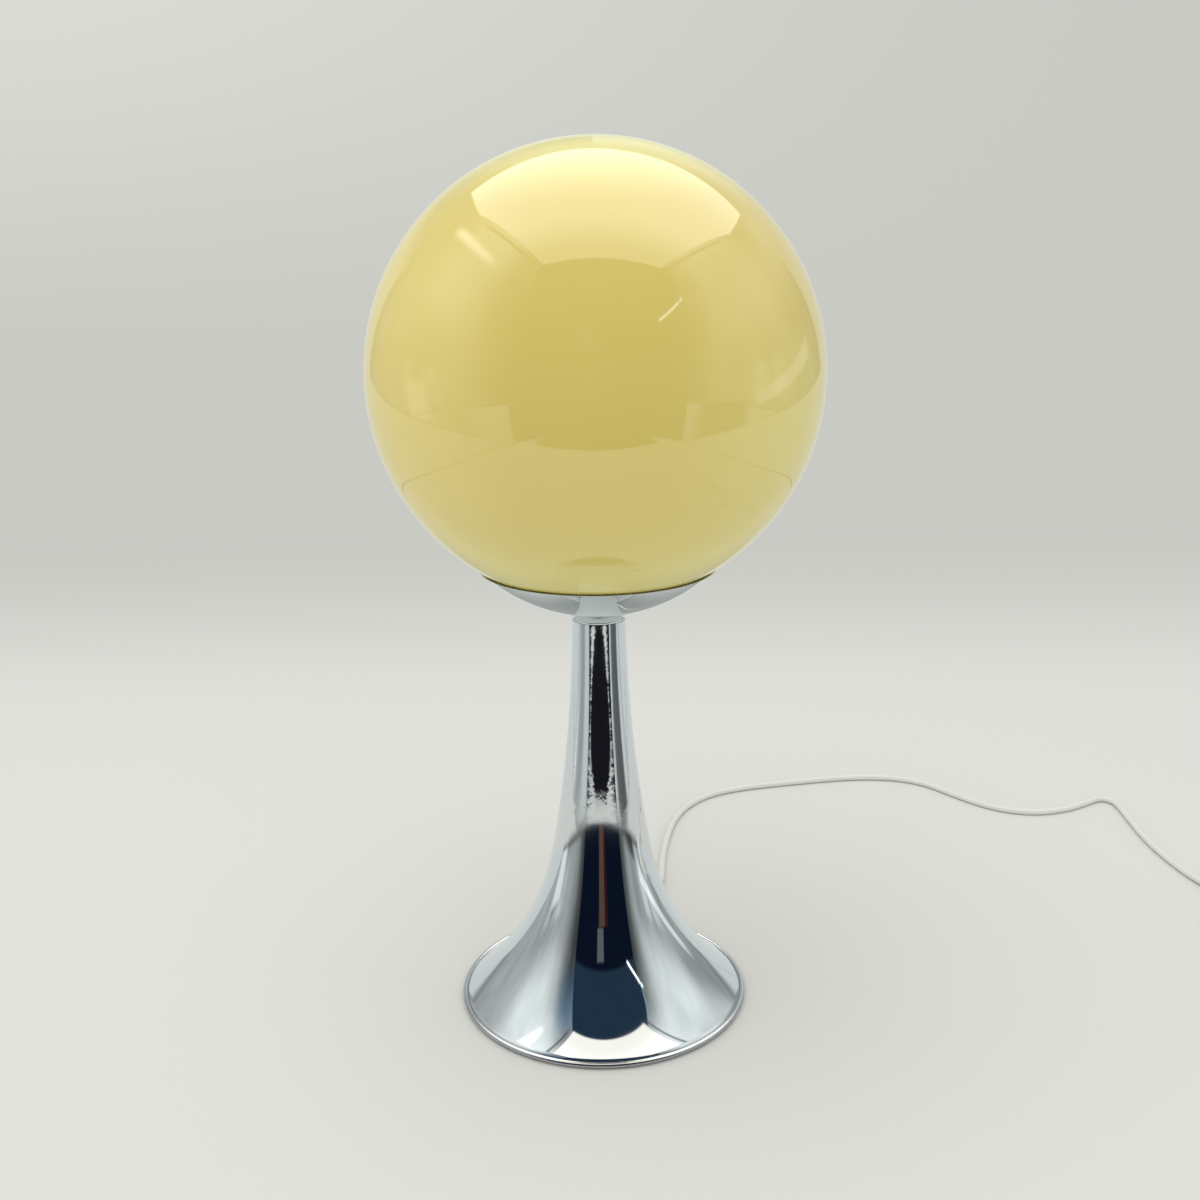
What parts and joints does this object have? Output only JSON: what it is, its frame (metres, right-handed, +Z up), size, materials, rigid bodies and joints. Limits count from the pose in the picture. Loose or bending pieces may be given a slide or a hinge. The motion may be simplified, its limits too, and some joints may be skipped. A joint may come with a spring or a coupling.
{
  "type": "table lamp",
  "caption": "Table lamp: an opal glass globe resting in a small chrome dish on a slim trumpet-shaped chrome stand, with a white cord, inline switch and plug.",
  "frame": {"origin": "centre of the foot's underside, on the table", "axes": "+Z up along the stand's axis, front faces -Y, the cord leaves the foot at the back and runs towards +X"},
  "size_m": [0.4627, 0.4418, 0.4],
  "materials": {
    "chrome": "mirror chrome on spun steel",
    "opal_glass": "glossy butter-yellow opal glass",
    "felt": "dark felt",
    "seat_rubber": "soft clear ring",
    "cast_iron": "rough cast, black",
    "zinc_steel": "zinc plated",
    "spring_steel": "bright spring strip",
    "brass": "bright",
    "holder_plastic": "black moulded",
    "porcelain": "glazed white ceramic",
    "nickel": "nickel plated",
    "bulb_white": "matt white diffuser",
    "bulb_body": "white moulded",
    "board_white": "white solder mask",
    "black_glass": "black insulator",
    "cord_white": "white flexible PVC",
    "switch_white": "white moulded"
  },
  "bodies": {
    "stand": {"trumpet_shell": "chrome", "neck_collar": "chrome", "globe_dish": "chrome", "dish_seat_ring": "seat_rubber", "base_weight": "cast_iron", "foot_pad": "felt", "threaded_tube": "zinc_steel", "base_washer": "zinc_steel", "base_nut": "zinc_steel", "dish_washer": "zinc_steel", "dish_nut": "brass", "spring_plate": "zinc_steel", "globe_springs": "spring_steel", "spring_rivets": "zinc_steel", "holder_cap": "holder_plastic", "holder_sleeve": "holder_plastic", "holder_insulator": "porcelain", "holder_screw_shell": "brass", "centre_contact": "brass", "terminal_blocks": "brass", "terminal_screws": "zinc_steel", "holder_wires": "cord_white", "cord_gland": "cord_white", "inner_lead": "cord_white", "cord_clamp": "zinc_steel", "clamp_screws": "zinc_steel", "cord_lead": "cord_white", "cord_link": "cord_white", "cord_coil": "cord_white", "cord_tail": "cord_white", "switch_base": "switch_white", "switch_cover": "switch_white", "switch_screws": "zinc_steel", "switch_contacts": "brass", "switch_cord_clamps": "zinc_steel", "plug_body": "switch_white", "plug_pins": "nickel"},
    "globe": {"glass_globe": "opal_glass"},
    "bulb": {"bulb_tip": "nickel", "bulb_insulator": "black_glass", "bulb_screw_cap": "nickel", "bulb_housing": "bulb_body", "bulb_led_board": "board_white", "bulb_dome": "bulb_white"},
    "rocker": {"switch_rocker": "switch_white"}
  },
  "joints": [
    {"name": "globe_lift", "type": "slide", "parent": "stand", "child": "globe", "axis": [0, 0, 1], "range_m": [0, 0.16]},
    {"name": "bulb_unscrew", "type": "slide", "parent": "stand", "child": "bulb", "axis": [0, 0, 1], "range_m": [0, 0.027]},
    {"name": "switch_rocker_tilt", "type": "hinge", "parent": "stand", "child": "rocker", "pos_m": [0.345, 0.028, 0.0106], "axis": [1, 0, 0], "range_deg": [-16, 0]}
  ]
}
